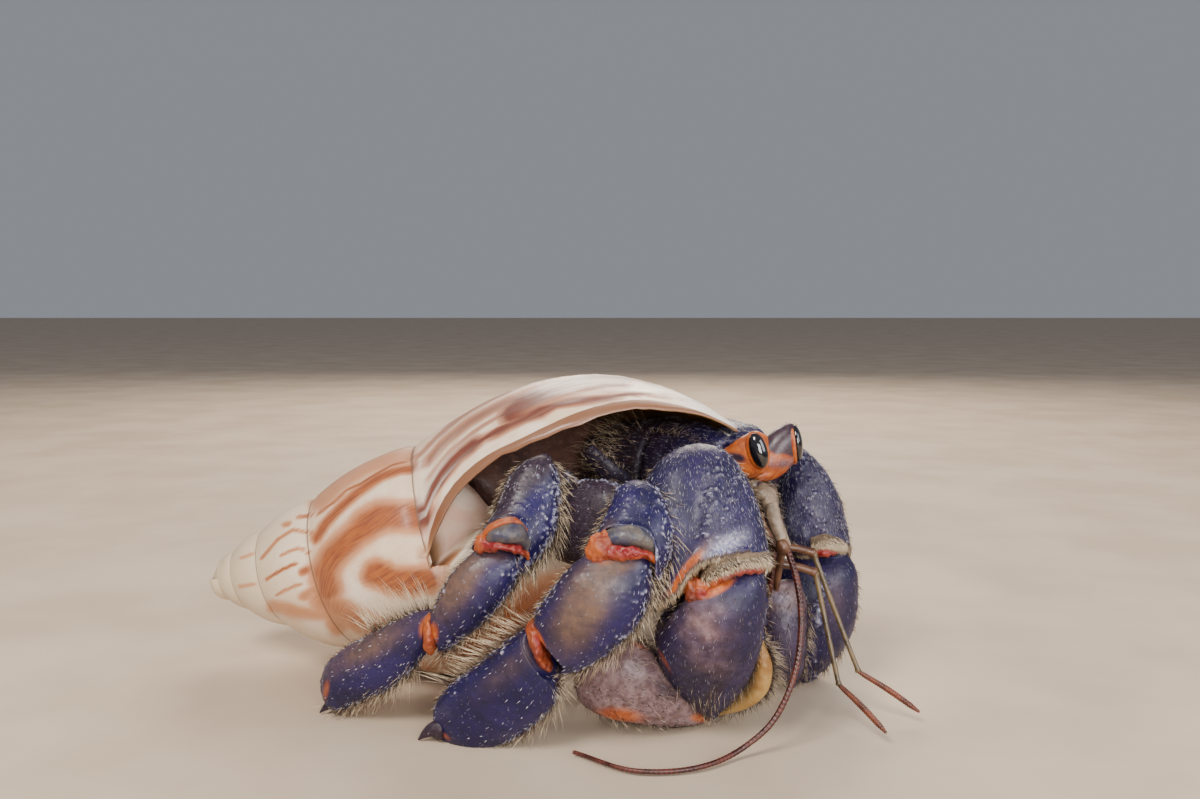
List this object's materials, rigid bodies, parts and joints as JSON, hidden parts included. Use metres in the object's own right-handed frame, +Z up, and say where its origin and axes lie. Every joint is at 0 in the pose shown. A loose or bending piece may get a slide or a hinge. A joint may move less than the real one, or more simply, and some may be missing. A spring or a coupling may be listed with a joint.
{
  "type": "blueberry hermit crab",
  "caption": "Still life-size model of a deep blue-violet land hermit crab walking in a cream and brown snail shell.",
  "frame": {"origin": "middle of the whole model's footprint box, on the floor that the shell and the limb tips rest on", "axes": "+X from the shell's apex towards its open end and the crab's face, +Y towards the crab's far (left) side, +Z up"},
  "size_m": [0.0778, 0.0515, 0.0333],
  "materials": {
    "shell": "smooth limy shell, cream with rust-brown streaks and blotches, a soft gloss",
    "blue_cuticle": "hard deep violet-blue cuticle with white specks, tan patches and a low gloss",
    "purple_cuticle": "dark brown-purple cuticle, finely speckled, low gloss",
    "orange_cuticle": "thinner orange to brown cuticle, low gloss",
    "cornea": "black glossy cornea",
    "feeler": "red-brown ringed feeler, low gloss",
    "soft_skin": "soft wrinkled brown-pink skin of the abdomen"
  },
  "bodies": {
    "root": {"shell": "shell", "carapace_shield": "blue_cuticle", "carapace_rear": "purple_cuticle", "chest": "purple_cuticle", "abdomen": "soft_skin", "leg3_right_merus": "purple_cuticle", "leg3_right_carpus": "blue_cuticle", "leg3_right_propodus": "blue_cuticle", "leg3_right_dactyl": "blue_cuticle", "leg2_right_merus": "purple_cuticle", "leg2_right_carpus": "blue_cuticle", "leg2_right_propodus": "blue_cuticle", "leg2_right_dactyl": "blue_cuticle", "leg2_left_merus": "purple_cuticle", "leg2_left_carpus": "blue_cuticle", "leg2_left_propodus": "blue_cuticle", "leg2_left_dactyl": "blue_cuticle", "leg3_left_merus": "purple_cuticle", "leg3_left_carpus": "blue_cuticle", "leg3_left_propodus": "blue_cuticle", "leg3_left_dactyl": "blue_cuticle", "claw_right_merus": "purple_cuticle", "claw_right_carpus": "blue_cuticle", "claw_right_palm": "blue_cuticle", "claw_right_finger": "orange_cuticle", "claw_left_merus": "purple_cuticle", "claw_left_carpus": "blue_cuticle", "claw_left_palm": "blue_cuticle", "claw_left_finger": "orange_cuticle", "eyestalk_right": "orange_cuticle", "cornea_right": "cornea", "antenna_right_base": "purple_cuticle", "antenna_right_flagellum": "feeler", "antennule_right_stalk": "feeler", "antennule_right_lash": "orange_cuticle", "maxilliped_right": "orange_cuticle", "leg4_right": "purple_cuticle", "eyestalk_left": "orange_cuticle", "cornea_left": "cornea", "antenna_left_base": "purple_cuticle", "antenna_left_flagellum": "feeler", "antennule_left_stalk": "feeler", "antennule_left_lash": "orange_cuticle", "maxilliped_left": "orange_cuticle", "leg4_left": "purple_cuticle"}
  },
  "joints": []
}
